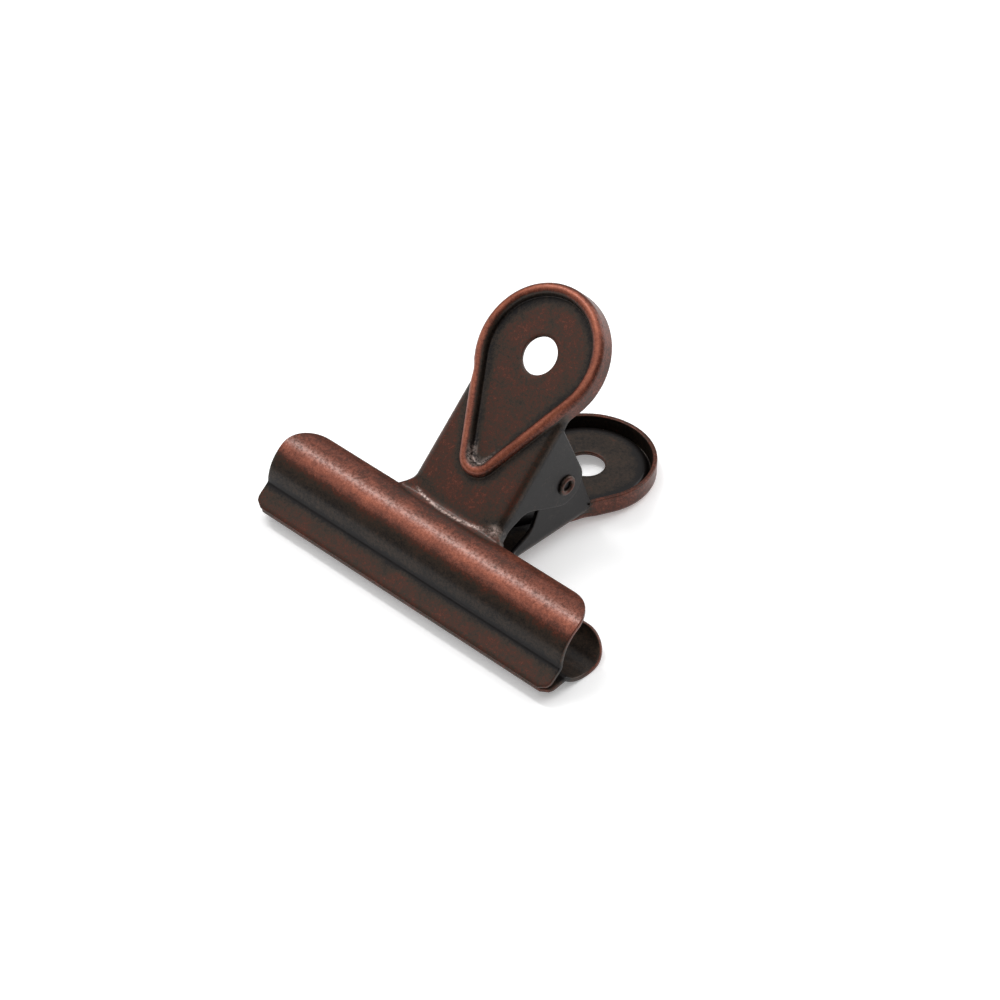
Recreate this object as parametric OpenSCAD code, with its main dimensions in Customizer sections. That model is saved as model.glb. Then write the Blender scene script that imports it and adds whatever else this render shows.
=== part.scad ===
// Bulldog clip: two stamped sheet-steel jaws, the hollow pin that they turn on, and
// the torsion spring that presses them shut.
// The clip lies closed on its rear jaw. X runs along the lips, Y from the lips to
// the handles, and Z up. The origin is under the middle of the clip's outer box.
// Jaw modules work in the clip's own frame, where the lip tips are at y = 0 and the
// middle plane between the two jaws is z = 0, and build the front jaw.

/* [Sheet] */
// Thickness of the steel that both jaws are pressed from
sheet = 0.6; // [0.45:0.05:0.7]
// Gap between the two lips of the closed clip
lip_gap = 0.1; // [0.06:0.02:0.4]

/* [Bar] */
// Length of the lips and of the roll behind them
jaw_w = 50; // [40:1:70]
// Outer radius of the roll
roll_r = 5.5; // [5:0.1:6.2]
// Distance of the roll's centre line from the lip tips
roll_y = 8.1; // [7.8:0.1:9.4]
// Distance of the roll's centre line behind the middle plane
roll_sink = 0.7; // [0.3:0.1:1]
// Angle from the roll's crown forward to the crease over the lip
crease_a = 68; // [60:1:74]
// Angle from the roll's crown back to its free edge
back_a = 36; // [26:1:44]
// Radius of the bar's two back corners, seen from above
corner_r = 4.2; // [2:0.1:5]
// Radius of the two corners of a lip
lip_corner_r = 1.3; // [0.5:0.1:2.5]

/* [Neck] */
// Half of the front jaw's width across its two ears
neck_half = 7.5; // [6.8:0.1:9]
// Outer radius of the bends between the neck and its ears
bend_r = 1.5; // [1.1:0.1:2.2]
// Radius of the fillets where the neck grows out of the bar
root_r = 2.3; // [1:0.1:3]
// Angle between a neck and the middle plane
splay_a = 22.4; // [18:0.2:26]
// Distance along the neck from the bar to the hanging hole
neck_l = 22.1; // [21:0.1:26]

/* [Ears] */
// Distance of the pivot from the lip tips
pivot_y = 23.75; // [22.5:0.05:25]
// Radius of the ears round the pivot
ear_r = 3; // [2.4:0.1:3.4]
// Height of an ear's lower edge over the middle plane beside the bar
skirt_z = 2.4; // [1.8:0.1:3]
// Angle at which that edge runs down to the pivot
skirt_a = 45; // [38:1:52]
// Radius of the hollow where the two stretches of that edge meet
skirt_r = 3; // [1:0.5:5]
// Gap between an ear of the front jaw and the rear jaw's ear inside it
ear_gap = 0.1; // [0.05:0.05:0.3]

/* [Handle] */
// Radius of the round end, at the crest of its bead
head_r = 8.1; // [7.4:0.05:9]
// Distance of the round end's centre past the hanging hole
head_off = 0.2; // [0:0.1:1]
// Radius of the teardrop's narrow end, at the crest of its bead
tip_r = 2.1; // [1.6:0.1:3]
// Distance between the centres of the two ends
drop_l = 14.1; // [12.5:0.1:16]
// Half of the bead's width
bead_r = 0.8; // [0.75:0.05:1]
// Height of the bead's crest over the floor of the handle
bead_h = 1.05; // [0.9:0.05:1.3]
// Depth of the turned edge below the floor of the handle
flange_d = 1.8; // [1.2:0.1:2.6]
// Diameter of the hanging hole
hole_d = 4.9; // [3:0.1:6]

/* [Pin] */
// Outer diameter of the hollow pin
pin_d = 2.2; // [1.8:0.1:2.6]
// Diameter of the hole through the pin
pin_bore_d = 1.3; // [0.8:0.1:1.4]
// Radial clearance between the pin and the rear jaw's ears
pin_play = 0.05; // [0.03:0.01:0.1]
// Thickness of the rolled rim at each end of the pin
rim_t = 0.45; // [0.3:0.05:0.7]
// Distance that the rim stands out beyond the pin's side
rim_w = 0.25; // [0.15:0.05:0.5]

/* [Spring] */
// Diameter of the spring wire
wire_d = 1.1; // [0.8:0.1:1.2]
// Mean radius of the coil
coil_r = 2.9; // [2.6:0.1:3.2]
// Whole turns in the coil, besides the part turn between its legs
turns = 4; // [3:1:5]
// Gap between neighbouring turns
turn_gap = 0.45; // [0.42:0.02:0.6]
// Length of each leg
leg_l = 9.5; // [8.5:0.1:10.5]
// Gap between a leg's end and the neck that it presses on
leg_gap = 0.1; // [0.05:0.05:0.3]

/* [Hidden] */
$fn = 96;
// Small length by which a cut runs past the face that it opens
past = 1;
// Where a straight stretch runs into a round one, it is this much slimmer, so that no
// two walls coincide, and it ends this far inside the round one
seam = 0.01;
lap = 0.15;
// The roll runs this angle past the neck's root, into the neck's metal
run_on = 2;

// Section of the bar: middle line of the sheet, as [y, z]
roll_c = [roll_y, -roll_sink];
mid_r = roll_r - sheet / 2;
lip_tip = [sheet / 2, (lip_gap + sheet) / 2];
crease = roll_c + mid_r * [-sin(crease_a), cos(crease_a)];
// Outer corner where the neck leaves the bar, and the roll's inner side under it
root = roll_c + roll_r * [sin(back_a), cos(back_a)];
root_in = roll_c + (roll_r - sheet) * [sin(back_a), cos(back_a)];

// The root fillets cut this far into the neck's side and the bar's edge, so that
// they end with some metal, and reach this far past the neck's side
root_bite = sheet / 5;
flare_w = root_r - root_bite - sqrt(2 * root_r * root_bite - root_bite * root_bite);

// Teardrop of the handle, in the neck's own frame with the hanging hole at its origin
drop_a = asin((head_r - tip_r) / drop_l);
drop_side = drop_l * cos(drop_a);
head_s = head_off;
tip_s = head_off - drop_l;
bead_z = bead_h - bead_r;

// Half width of a jaw's neck: the rear jaw's ears go inside the front jaw's
function half(front) = front ? neck_half : neck_half - sheet - ear_gap;
// End of a neck's bent sides, along the neck: half a sheet inside the handle's wall
function join_s(w) = head_s - (head_r + bead_r - w * cos(drop_a)) / sin(drop_a) + sheet / 2;

// A point of the neck's frame, as [y, z] in the clip's frame
function neck_pt(s, h) = root + [(neck_l + s) * cos(splay_a) - h * sin(splay_a),
                                 (neck_l + s) * sin(splay_a) + h * cos(splay_a)];

// The lean of the clip, which lets the roll and the handle's bead share one floor
bead_end = neck_pt(head_s + head_r, bead_z);
lay_dy = bead_end[0] - roll_c[0];
lay_dz = bead_end[1] - roll_c[1];
lay_a = atan2(lay_dz, lay_dy) - asin((roll_r - bead_r) / norm([lay_dy, lay_dz]));
function laid(p) = [p[0] * cos(lay_a) - p[1] * sin(lay_a), p[0] * sin(lay_a) + p[1] * cos(lay_a)];
floor_z = laid([roll_c[0], -roll_c[1]])[1] - roll_r;
end_low = neck_pt(head_s + head_r + bead_r, -flange_d);
end_high = neck_pt(head_s + head_r + bead_r, bead_z);
back_y = max(laid([end_low[0], -end_low[1]])[0], laid([end_high[0], -end_high[1]])[0]);
tip_y = laid(lip_tip)[0] - sheet / 2;
mid_y = (back_y + tip_y) / 2;

// The coil: its turns go clockwise, seen along -X, from the rear leg to the front one
pitch = wire_d + turn_gap;
neck_d = root[1] * cos(splay_a) - (root[0] - pivot_y) * sin(splay_a);
inner_d = neck_d - sheet - leg_gap - wire_d / 2;
// Angle of a leg to the middle plane, at which its end just reaches the neck
leg_a = splay_a + asin(inner_d / norm([coil_r, leg_l])) - atan2(coil_r, leg_l);
wound_a = 360 * turns + 360 - 2 * (90 + leg_a);
rings = 8;
sides = 6;
coil_w = pitch * wound_a / 360;
steps = ceil(wound_a / 360 * rings);
function coil_pt(k) = let (a = -(90 + leg_a) - wound_a * k / steps)
    [coil_w * (k / steps - 1 / 2), coil_r * cos(a), coil_r * sin(a)];
function leg_pt(side, d) = let (a = side * (90 + leg_a))
    [side * coil_w / 2, coil_r * cos(a) + d * cos(leg_a), coil_r * sin(a) + side * d * sin(leg_a)];
wire = concat([leg_pt(-1, leg_l), leg_pt(-1, leg_l / 2)], [for (k = [0:steps]) coil_pt(k)],
              [leg_pt(1, leg_l / 2), leg_pt(1, leg_l)]);

// Least gap of the coil to itself, between points one turn apart
least_gap = min([for (k = [0:steps - rings]) for (j = [rings - 1:min(rings + 1, steps - k)])
                 norm(coil_pt(k + j) - coil_pt(k))]) - wire_d;
echo(least_gap = least_gap);

// Puts a shape drawn in the (y, z) plane across the clip, w wide on each side
module across(w) rotate([90, 0, 90]) translate([0, 0, -w]) linear_extrude(2 * w) children();

// Puts a shape from the neck's frame, (x, s, h), into the clip's frame
module on_neck() translate([0, root[0], root[1]]) rotate([splay_a, 0, 0])
    translate([0, neck_l, 0]) children();

// Straight strip of sheet between two points of its middle line, with round ends
module strip(a, b) {
    u = (b - a) / norm(b - a) * sheet / 2;
    n = [-u[1], u[0]];
    polygon([a + n, a - n, b - n, b + n]);
    translate(a) circle(r = sheet / 2);
    translate(b) circle(r = sheet / 2);
}

// Section of the lip, the crease and the roll
module bar_section() {
    reach = 2 * roll_r;
    strip(lip_tip, crease);
    translate(roll_c) intersection() {
        difference() {
            circle(r = roll_r);
            circle(r = roll_r - sheet);
        }
        polygon([[0, 0], reach * [-sin(crease_a), cos(crease_a)], [-reach, reach], [reach, reach],
                 reach * [sin(back_a + run_on), cos(back_a + run_on)]]);
    }
}

// The bar's outline seen from above, with its round corners
module bar_plan() {
    back = roll_c[0] + roll_r * sin(back_a + run_on) + seam;
    for (side = [-1, 1]) {
        translate([side * (jaw_w / 2 - corner_r), back - corner_r]) circle(r = corner_r);
        translate([side * (jaw_w / 2 - lip_corner_r), lip_corner_r]) circle(r = lip_corner_r);
    }
    translate([-jaw_w / 2, lip_corner_r]) square([jaw_w, back - corner_r - lip_corner_r]);
    translate([-jaw_w / 2 + corner_r, back / 2]) square([jaw_w - 2 * corner_r, back / 2]);
    translate([-jaw_w / 2 + lip_corner_r, 0]) square([jaw_w - 2 * lip_corner_r, back / 2]);
}

module bar() {
    intersection() {
        across(jaw_w) bar_section();
        translate([0, 0, -roll_r]) linear_extrude(3 * roll_r) bar_plan();
    }
}

// Wedge of metal inside the bend between the roll and the neck, its corners in their metal
module root_bend(w) {
    up = [sin(back_a), cos(back_a)];
    on = [cos(back_a), -sin(back_a)];
    across(w + flare_w - lap) polygon([
        root + sheet / 8 * on - sheet / 15 * up,
        roll_c + (roll_r - sheet + seam) * [sin(back_a - run_on), cos(back_a - run_on)],
        neck_pt(lap / 3 - neck_l, lap / 5 - sheet)]);
}

// Concave flares of the neck into the bar's free edge, a hair below its level
module flares(w) {
    c = root_r - root_bite;
    for (side = [0, 1]) mirror([side, 0, 0])
        translate([0, -neck_l, seam - sheet]) linear_extrude(sheet - seam - root_bite / 2) difference() {
            translate([w - bend_r + lap, 0]) square([bend_r - lap + c, c]);
            translate([w + c, c]) circle(r = root_r);
        }
}

// Section of the neck, (x, h): a flat top and two bent sides
module rounded_top(w, r, depth) {
    for (side = [-1, 1]) translate([side * (w - r), -r]) circle(r = r);
    translate([-(w - r), -r]) square([2 * (w - r), r]);
    translate([-w, -depth]) square([2 * w, depth - r]);
}

module channel(w) {
    depth = neck_l;
    rotate([90, 0, 0]) translate([0, 0, -join_s(w)]) linear_extrude(neck_l + join_s(w)) difference() {
        rounded_top(w, bend_r, depth);
        translate([0, -sheet]) rounded_top(w - sheet, bend_r - sheet, depth);
    }
}

// Side view of the ears, and of the band of neck and bends above them
module ear_side(w) {
    line_r = ear_r - seam;
    corner = [pivot_y - line_r / sin(skirt_a) - skirt_z / tan(skirt_a), skirt_z];
    touch = [pivot_y - line_r * sin(skirt_a), -line_r * cos(skirt_a)];
    back = pivot_y + line_r;
    back_s = (back - root[0]) / cos(splay_a) - neck_l;
    lead = skirt_r * tan(skirt_a / 2);
    difference() {
        union() {
            polygon([[root_in[0], skirt_z], corner, touch, [pivot_y, 0], [back, 0],
                     neck_pt(back_s, past), neck_pt(-neck_l, past), root_in + [0, past]]);
            translate([pivot_y, 0]) circle(r = ear_r);
            polygon([corner - [lead, 0], corner + lead * [cos(skirt_a), -sin(skirt_a)],
                     corner + [sheet, sheet]]);
            polygon([neck_pt(-neck_l, -bend_r - lap), neck_pt(-neck_l, past),
                     neck_pt(join_s(w) + past, past), neck_pt(join_s(w) + past, -bend_r - lap)]);
        }
        translate([corner[0] - lead, skirt_z - skirt_r]) circle(r = skirt_r + seam);
    }
}

module neck(w) {
    intersection() {
        on_neck() channel(w);
        across(2 * w) ear_side(w);
    }
}

// The teardrop's outline in the neck's frame
module drop() {
    translate([0, head_s]) circle(r = head_r);
    translate([0, tip_s]) circle(r = tip_r);
    big = (head_r - seam) * [cos(drop_a), -sin(drop_a)];
    small = (tip_r - seam) * [cos(drop_a), -sin(drop_a)];
    polygon([[big[0], head_s + big[1]], [0, head_s], [-big[0], head_s + big[1]],
             [-small[0], tip_s + small[1]], [0, tip_s], [small[0], tip_s + small[1]]]);
}

// Carries a section (d, h) along the teardrop's crest line: d is the distance outward
module carry_head() translate([0, head_s, 0]) rotate([0, 0, -drop_a])
    rotate_extrude(angle = 180 + 2 * drop_a) translate([head_r, 0]) children();

module carry_tip() translate([0, tip_s, 0]) rotate([0, 0, 180 + drop_a])
    rotate_extrude(angle = 180 - 2 * drop_a) translate([tip_r, 0]) children();

// The same along the first l of both sides, from the round end
module carry_sides(l) {
    for (side = [0, 1]) mirror([side, 0, 0]) translate([head_r * cos(drop_a), head_s - head_r * sin(drop_a), 0])
        rotate([0, 0, -drop_a]) rotate([90, 0, 0]) translate([0, 0, -lap]) linear_extrude(l + lap) children();
}

// The bead, slimmer by g all round
module bead_section(g) {
    r = bead_r - g;
    translate([0, bead_z]) circle(r = r);
    translate([-r, -sheet / 2]) square([2 * r, sheet / 2 + bead_z]);
}

// The hollow side of the bead, open below
module groove_section(g) {
    r = bead_r - sheet - g;
    translate([0, bead_z]) circle(r = r);
    translate([-r, -flange_d - past]) square([2 * r, flange_d + past + bead_z]);
}

// The bead with the turned edge below its outer side
module rim_section(g) {
    bead_section(g);
    translate([0, g - flange_d]) square([bead_r - g, flange_d - g + bead_z]);
}

module handle(w) {
    side_l = (head_s - head_r * sin(drop_a) - join_s(w)) / cos(drop_a) + sheet;
    translate([0, 0, -sheet]) linear_extrude(sheet) drop();
    carry_head() rim_section(0);
    carry_sides(side_l) rim_section(seam);
    carry_sides(drop_side + lap) bead_section(2 * seam);
    carry_tip() bead_section(0);
}

module groove() {
    carry_head() groove_section(0);
    carry_sides(drop_side + lap) groove_section(seam);
    carry_tip() groove_section(0);
}

// One jaw with its ears w from the middle, and holes of radius seat for the pin
module jaw(w, seat) {
    difference() {
        union() {
            bar();
            root_bend(w);
            neck(w);
            on_neck() flares(w);
            on_neck() handle(w);
        }
        on_neck() groove();
        on_neck() translate([0, 0, -sheet - past]) cylinder(d = hole_d, h = sheet + 2 * past);
        translate([-2 * w, pivot_y, 0]) rotate([0, 90, 0]) cylinder(r = seat, h = 4 * w);
    }
}

// Lays the closed clip down on its rear jaw
module lay() translate([0, -mid_y, -floor_z]) rotate([lay_a, 0, 0]) children();

module front_jaw() color([0.36, 0.23, 0.19]) lay() jaw(half(true), pin_d / 2);

module rear_jaw() color([0.30, 0.21, 0.18]) lay() mirror([0, 0, 1]) jaw(half(false), pin_d / 2 + pin_play);

// Hollow pin with a rim rolled over the front jaw's ear at each end
module pivot_pin() {
    l = half(true);
    r = pin_d / 2;
    color([0.30, 0.25, 0.23]) lay() translate([0, pivot_y, 0]) rotate([0, 90, 0]) rotate_extrude() difference() {
        union() {
            translate([0, -l]) square([r, 2 * l]);
            for (side = [-1, 1]) translate([0, side > 0 ? l : -l - rim_t]) square([r + rim_w, rim_t]);
        }
        translate([0, -l - rim_t - past]) square([pin_bore_d / 2, 2 * (l + rim_t + past)]);
    }
}

// Wire carried along its points, each ring square to the run through it
module torsion_spring() {
    n = len(wire);
    ring = [for (k = [0:n - 1])
        let (u = wire[min(k + 1, n - 1)] - wire[max(k - 1, 0)], t = u / norm(u),
             o = k < 2 || k > n - 3 ? cross([1, 0, 0], t) : [0, wire[k][1], wire[k][2]],
             a = cross(t, o), b = a / norm(a), c = cross(b, t))
        for (j = [0:sides - 1]) wire[k] + wire_d / 2 * (cos(360 * j / sides) * b + sin(360 * j / sides) * c)];
    walls = [for (k = [0:n - 2]) for (j = [0:sides - 1])
        let (p = k * sides + j, q = k * sides + (j + 1) % sides)
        each [[p, q, q + sides], [p, q + sides, p + sides]]];
    last = (n - 1) * sides;
    ends = [for (j = [1:sides - 2]) each [[0, j + 1, j], [last, last + j, last + j + 1]]];
    color([0.45, 0.44, 0.42]) lay() translate([0, pivot_y, 0]) polyhedron(ring, concat(walls, ends));
}

rear_jaw();
front_jaw();
pivot_pin();
torsion_spring();
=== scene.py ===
"""Dresses the frame of a bulldog clip: two pressed jaws, a hollow pin and a coil spring.

Lengths in the shape functions are millimetres in the clip's own frame, where X runs along
the lips, the lip tips are at y = 0 and the middle plane between the jaws is z = 0. One
function, set_down, puts them where the CAD has them, in metres.
"""

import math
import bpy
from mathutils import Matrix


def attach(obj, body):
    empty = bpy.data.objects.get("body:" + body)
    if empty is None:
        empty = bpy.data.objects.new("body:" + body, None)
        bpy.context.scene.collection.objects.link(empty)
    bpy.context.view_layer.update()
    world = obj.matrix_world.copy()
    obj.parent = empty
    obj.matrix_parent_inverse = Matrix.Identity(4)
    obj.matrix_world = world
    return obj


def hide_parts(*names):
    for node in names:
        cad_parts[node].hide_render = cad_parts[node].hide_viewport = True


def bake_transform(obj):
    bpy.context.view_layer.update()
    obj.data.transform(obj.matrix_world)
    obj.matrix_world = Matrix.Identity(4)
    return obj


bl_info = {
    "name": "Bulldog Clip",
    "version": (1, 0, 0),
    "blender": (4, 5, 0),
    "location": "3D View > Sidebar > Bulldog Clip",
    "description": "Pressed sheet-steel jaws, hollow pin and coil spring in an antique red copper finish",
    "category": "Object",
}

from types import SimpleNamespace

import bpy
import numpy as np
from bpy.props import FloatProperty, FloatVectorProperty, IntProperty, PointerProperty
from mathutils import Matrix, Vector

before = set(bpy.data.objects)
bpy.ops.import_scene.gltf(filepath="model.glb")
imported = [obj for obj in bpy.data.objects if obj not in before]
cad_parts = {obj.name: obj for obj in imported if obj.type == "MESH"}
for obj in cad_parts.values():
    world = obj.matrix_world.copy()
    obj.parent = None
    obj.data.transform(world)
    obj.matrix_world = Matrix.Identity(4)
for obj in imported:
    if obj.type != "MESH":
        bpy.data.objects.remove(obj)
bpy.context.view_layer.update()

# millimetres: how far the neck's face lies under the roll's where it runs onto it, the radius of the neck's hollow
# at its flares, the depth that the flares slide under the bar's face, and the bend radius left at the root
HAIR, FLARE_R, FLARE_DIP, ROOT_BEND_R = 0.006, 0.35, 0.2, 0.3


def linear(code):
    """Linear RGBA of an sRGB hex colour: each channel goes through the inverse of the sRGB curve."""
    c = np.array([int(code[i:i + 2], 16) for i in (1, 3, 5)]) / 255
    c = np.where(c <= 0.04045, c / 12.92, ((c + 0.055) / 1.055) ** 2.4)
    return (*c.tolist(), 1.0)


def length(name, mm, text):
    """A length property, its default given in millimetres and kept in metres."""
    return FloatProperty(name=name, description=text, default=mm / 1000, subtype="DISTANCE", unit="LENGTH",
                         precision=5, min=0)


def angle(name, degrees, text):
    """An angle property, its default given in degrees and kept in radians."""
    return FloatProperty(name=name, description=text, default=math.radians(degrees), subtype="ANGLE",
                         unit="ROTATION")


def colour(name, code, text):
    """A colour property, its default given as an sRGB hex value and kept linear."""
    return FloatVectorProperty(name=name, description=text, default=linear(code), subtype="COLOR", size=4,
                               min=0, max=1)


class ClipBar(bpy.types.PropertyGroup):
    """Sizes of the sheet and of the lips with their roll"""

    sheet: length("Sheet", 0.6, "Thickness of the steel that both jaws are pressed from")
    edge_r: length("Edge radius", 0.15, "Radius that tumbling leaves on the cut edges")
    lip_gap: length("Lip gap", 0.1, "Gap between the two lips of the closed clip")
    jaw_w: length("Jaw width", 50, "Length of the lips and of the roll behind them")
    roll_r: length("Roll radius", 5.5, "Outer radius of the roll")
    roll_y: length("Roll distance", 8.1, "Distance of the roll's centre line from the lip tips")
    roll_sink: length("Roll sink", 0.7, "Distance of the roll's centre line behind the middle plane")
    crease_a: angle("Crease angle", 68, "Angle from the roll's crown forward to the crease over the lip")
    crease_r: length("Crease radius", 0.4, "Radius of the crease between the lip and the roll")
    back_a: angle("Back angle", 36, "Angle from the roll's crown back to the neck's root")
    run_on: angle("Run on", 2, "Angle by which the roll's free edge lies past the neck's root")
    corner_r: length("Corner radius", 4.2, "Radius of the bar's two back corners, seen from above")
    lip_corner_r: length("Lip corner radius", 1.3, "Radius of the two corners of a lip")


class ClipNeck(bpy.types.PropertyGroup):
    """Sizes of the neck and of the ears that are bent down from it"""

    neck_half: length("Half width", 7.5, "Half of the front jaw's width across its two ears")
    bend_r: length("Bend radius", 1.5, "Outer radius of the bends between the neck and its ears")
    root_r: length("Root radius", 2.3, "Radius of the hollow where the neck grows out of the bar, seen from above")
    valley_r: length("Valley radius", 1.6, "Radius of the hollow between the roll and the neck, seen from the side")
    splay_a: angle("Splay", 22.4, "Angle between a neck and the middle plane")
    neck_l: length("Neck length", 22.1, "Distance along the neck from the bar to the hanging hole")
    pivot_y: length("Pivot distance", 23.75, "Distance of the pivot from the lip tips")
    ear_r: length("Ear radius", 3, "Radius of the ears round the pivot")
    skirt_z: length("Skirt height", 2.4, "Height of an ear's lower edge over the middle plane beside the bar")
    skirt_a: angle("Skirt angle", 45, "Angle at which that edge runs down to the pivot")
    skirt_r: length("Skirt radius", 3, "Radius of the hollow where the two stretches of that edge meet")
    ear_gap: length("Ear gap", 0.1, "Gap between an ear of the front jaw and the rear jaw's ear inside it")


class ClipHandle(bpy.types.PropertyGroup):
    """Sizes of the teardrop handles"""

    head_r: length("Head radius", 8.1, "Radius of the round end, at the crest of its bead")
    head_off: length("Head offset", 0.2, "Distance of the round end's centre past the hanging hole")
    tip_r: length("Tip radius", 2.1, "Radius of the teardrop's narrow end, at the crest of its bead")
    drop_l: length("Teardrop length", 14.1, "Distance between the centres of the two ends")
    bead_r: length("Bead radius", 0.8, "Half of the bead's width")
    bead_h: length("Bead height", 1.05, "Height of the bead's crest over the floor of the handle")
    flange_d: length("Turned edge", 1.8, "Depth of the turned edge below the floor of the handle")
    hole_d: length("Hole", 4.9, "Diameter of the hanging hole")


class ClipPin(bpy.types.PropertyGroup):
    """Sizes of the hollow pin"""

    pin_d: length("Diameter", 2.2, "Outer diameter of the hollow pin")
    bore_d: length("Bore", 1.3, "Diameter of the hole through the pin")
    rim_t: length("Rim thickness", 0.45, "Thickness of the rolled rim at each end")
    rim_w: length("Rim width", 0.25, "Distance that the rim stands out beyond the pin's side")


class ClipSpring(bpy.types.PropertyGroup):
    """Sizes of the torsion spring"""

    wire_d: length("Wire", 1.1, "Diameter of the spring wire")
    coil_r: length("Coil radius", 2.9, "Mean radius of the coil")
    turns: IntProperty(name="Turns", description="Whole turns in the coil, besides the part turn", default=4, min=1)
    turn_gap: length("Turn gap", 0.45, "Gap between neighbouring turns")
    leg_l: length("Leg length", 9.5, "Length of each leg")
    leg_gap: length("Leg gap", 0.1, "Gap between a leg's end and the neck that it presses on")


class ClipFinish(bpy.types.PropertyGroup):
    """Colours of the antique red copper finish, from its hollows to its rubbed edges"""

    # this colour is also laid on as painted shade at the bead's feet, on the neck's right side and in the pin's
    # bore
    grime_and_shade: colour("Hollow", "#141010", "Near-black patina left in creases and inside the clip")
    patina: colour("Patina", "#382D24", "Dark brown patina on the flats")
    ember: colour("Red patina", "#502A1E", "Dark red of copper under a thinner patina")
    copper: colour("Copper", "#7E4534", "Red copper showing through the patina")
    rubbed: colour("Rubbed", "#B0694F", "Bright copper on the bead, the bends and the edges")
    # this colour is also laid on as painted highlight along the roll's crown and at the neck's right flare
    bare_and_highlight: colour("Bare", "#D2BDB4", "Bare metal where the press tool scraped the plating off")
    wire: colour("Wire", "#57534F", "Oiled spring steel")


class ClipStage(bpy.types.PropertyGroup):
    """Floor and light"""

    floor: colour("Floor", "#F6F6F6", "Colour of the floor")
    key: FloatProperty(name="Key light", description="Strength of the large light overhead", default=1.0, min=0)


def in_mm(scene):
    """Every size of the clip in one namespace: lengths in millimetres, angles in radians, counts as they are."""
    c = SimpleNamespace()
    for group in (scene.clip_bar, scene.clip_neck, scene.clip_handle, scene.clip_pin, scene.clip_spring):
        for name, prop in group.bl_rna.properties.items():
            if name not in ("rna_type", "name"):
                value = getattr(group, name)
                setattr(c, name, value * 1000 if prop.unit == "LENGTH" else value)
    return c


def slope(a):
    """The unit vectors along and above a line that rises at angle a, as (y, z)."""
    return (np.stack([np.cos(a), np.sin(a)], -1), np.stack([-np.sin(a), np.cos(a)], -1))


def clip_sizes(scene):
    """All sizes, with the points and angles that follow from them.

    The lean that lays the clip on its rear jaw is the slope of the line that touches both the
    roll's circle and the bead's circle at the handle's end.
    """
    c = in_mm(scene)
    c.roll_c = np.array([c.roll_y, -c.roll_sink])
    c.along, c.above = slope(c.splay_a)
    c.root = c.roll_c + c.roll_r * slope(-c.back_a)[1]
    c.drop_a = math.asin((c.head_r - c.tip_r) / c.drop_l)
    c.tip_s = c.head_off - c.drop_l
    c.bead_z = c.bead_h - c.bead_r

    def laid(p):
        return np.array([p[0] * math.cos(c.lay_a) - p[1] * math.sin(c.lay_a),
                         p[0] * math.sin(c.lay_a) + p[1] * math.cos(c.lay_a)])

    reach = neck_point(c, c.head_off + c.head_r, c.bead_z) - c.roll_c
    c.lay_a = math.atan2(reach[1], reach[0]) - math.asin((c.roll_r - c.bead_r) / np.linalg.norm(reach))
    c.floor_z = laid([c.roll_c[0], -c.roll_c[1]])[1] - c.roll_r
    ends = [neck_point(c, c.head_off + c.head_r + c.bead_r, h) for h in (-c.flange_d, c.bead_z)]
    back = max(laid([e[0], -e[1]])[0] for e in ends)
    front = laid([c.sheet / 2, (c.lip_gap + c.sheet) / 2])[0] - c.sheet / 2
    c.mid_y = (back + front) / 2
    return c


def neck_point(c, s, h):
    """The points (y, z) at s along the neck from the hanging hole and h above its face."""
    s, h = np.asarray(s)[..., None], np.asarray(h)[..., None]
    return c.root + (c.neck_l + s) * c.along + h * c.above


def set_down(c, p, rear=False):
    """Points in the clip's own frame, in millimetres, put where the CAD has them, in metres.

    The rear jaw is mirrored in the middle plane. Then y and z turn by the lean, and the clip
    is centred and lowered to the floor.
    """
    y, z = p[..., 1], p[..., 2] * (-1 if rear else 1)
    ca, sa = math.cos(c.lay_a), math.sin(c.lay_a)
    return np.stack([p[..., 0], y * ca - z * sa - c.mid_y, y * sa + z * ca - c.floor_z], -1) / 1000


def unit(v):
    """Each vector divided by its length."""
    return v / np.maximum(np.linalg.norm(v, axis=-1, keepdims=True), 1e-12)


def ease(t):
    """Smooth step: three t squared less two t cubed, with t held between 0 and 1."""
    t = np.clip(t, 0, 1)
    return t * t * (3 - 2 * t)


def quads(index, wrap_rows=False, wrap_cols=False):
    """Quads of a grid of vertex numbers, each corner with its next row, next both, and next column."""
    a = np.concatenate([index, index[:1]]) if wrap_rows else index
    a = np.concatenate([a, a[:, :1]], axis=1) if wrap_cols else a
    return np.stack([a[:-1, :-1], a[1:, :-1], a[1:, 1:], a[:-1, 1:]], -1).reshape(-1, 4)


def quarter(k):
    """k + 1 angles from 0 to 90 degrees."""
    return np.linspace(0, math.pi / 2, k + 1)


def rim(p, n, b, thick, r, k=3):
    """Rings round a cut edge, from the outer face to the inner one.

    A ring at angle t lies r sin t out along b and r (1 - cos t) in along the normal, first from
    the outer face and then, back again, from the inner face.
    """
    t = quarter(k)[1:, None, None]
    first = p + r * np.sin(t) * b - r * (1 - np.cos(t)) * n
    t = t[::-1]
    return np.concatenate([first, p + r * np.sin(t) * b - (thick - r * (1 - np.cos(t))) * n])


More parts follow.
